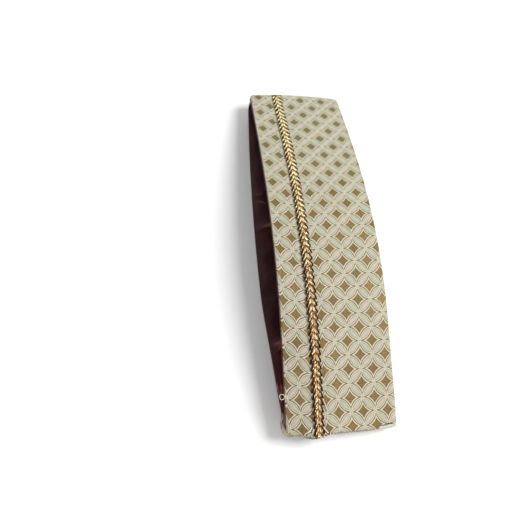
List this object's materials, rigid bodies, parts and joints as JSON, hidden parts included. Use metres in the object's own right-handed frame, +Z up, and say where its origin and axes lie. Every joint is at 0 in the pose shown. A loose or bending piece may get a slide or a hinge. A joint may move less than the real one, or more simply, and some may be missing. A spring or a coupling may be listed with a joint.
{
  "type": "wedding cap",
  "caption": "Folded brocade wedding cap lying on its side, with a gold lace along each side, a lined open mouth and a crown gusset folded inwards.",
  "frame": {"origin": "middle of the bounding box's base, on the surface that the cap lies on", "axes": "+Y along the cap from its near end to its far end, +X from the open mouth to the crown, +Z up"},
  "size_m": [0.086, 0.2864, 0.0429],
  "materials": {
    "cream_brocade": "woven brocade, pale ivory petals round gold-brown diamonds",
    "maroon_lining": "dark maroon satin with soft wrinkles",
    "gold_lace": "plaited metallic gold thread with dark zigzag edges"
  },
  "bodies": {
    "root": {"upper_side_panel": "cream_brocade", "lower_side_panel": "cream_brocade", "crown_gusset": "cream_brocade", "upper_side_lining": "maroon_lining", "lower_side_lining": "maroon_lining", "crown_lining": "maroon_lining", "upper_lace": "gold_lace", "lower_lace": "gold_lace"}
  },
  "joints": []
}
